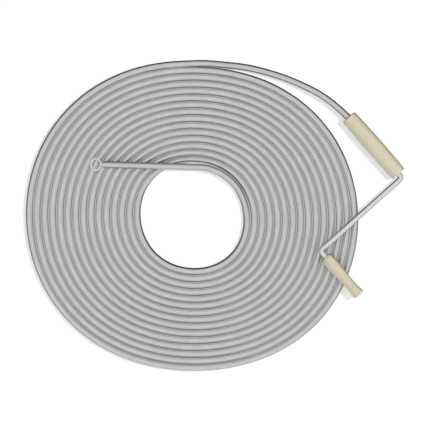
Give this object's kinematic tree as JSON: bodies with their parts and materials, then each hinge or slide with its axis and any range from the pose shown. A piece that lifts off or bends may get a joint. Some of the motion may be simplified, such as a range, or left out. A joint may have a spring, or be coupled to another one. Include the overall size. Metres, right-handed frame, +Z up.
{
  "type": "drain auger",
  "caption": "Hand drain auger: a flat oval coil of closed-wound spring cable with a wire eye at its working end and a cranked steel handle with two turning wooden grips.",
  "frame": {"origin": "centre of the hole of the cable coil, in the plane of the surface that the coil lies on", "axes": "+Z up, out of the flat coil and along a peg through its hole; +X towards the handle's side of the coil; +Y towards the side where the cable leaves the coil for the handle"},
  "size_m": [0.5597, 0.4597, 0.0292],
  "materials": {
    "cable_steel": "drawn spring wire, lightly galvanised, satin",
    "plated_steel": "bright zinc plated, satin",
    "beech": "turned beech, waxed",
    "nylon": "natural nylon"
  },
  "bodies": {
    "cable": {"cable_coil": "cable_steel", "cable_lead": "cable_steel", "cable_tail": "cable_steel", "tip_ring": "plated_steel"},
    "crank": {"crank_rod": "plated_steel", "coupling_sleeve": "plated_steel", "coupling_screws": "plated_steel", "front_thrust_washer": "plated_steel", "rear_thrust_washer": "plated_steel", "stop_collar": "plated_steel", "end_washer": "plated_steel", "push_nut": "plated_steel"},
    "forward_grip": {"forward_grip": "beech", "forward_grip_bush": "nylon"},
    "rear_grip": {"rear_grip": "beech", "rear_grip_bush": "nylon", "end_plug": "beech"}
  },
  "joints": [
    {"name": "crank_turn", "type": "hinge", "parent": "cable", "child": "crank", "pos_m": [0.2284, 0.1479, 0.0128], "axis": [-0.6587, 0.7524, 0], "range_deg": [0, 178]},
    {"name": "forward_grip_spin", "type": "hinge", "parent": "crank", "child": "forward_grip", "pos_m": [0.2284, 0.1479, 0.0128], "axis": [0.6587, -0.7524, 0], "continuous": true},
    {"name": "rear_grip_spin", "type": "hinge", "parent": "crank", "child": "rear_grip", "pos_m": [0.19451, -0.0588, 0.01975], "axis": [0.6587, -0.7524, 0], "continuous": true}
  ]
}
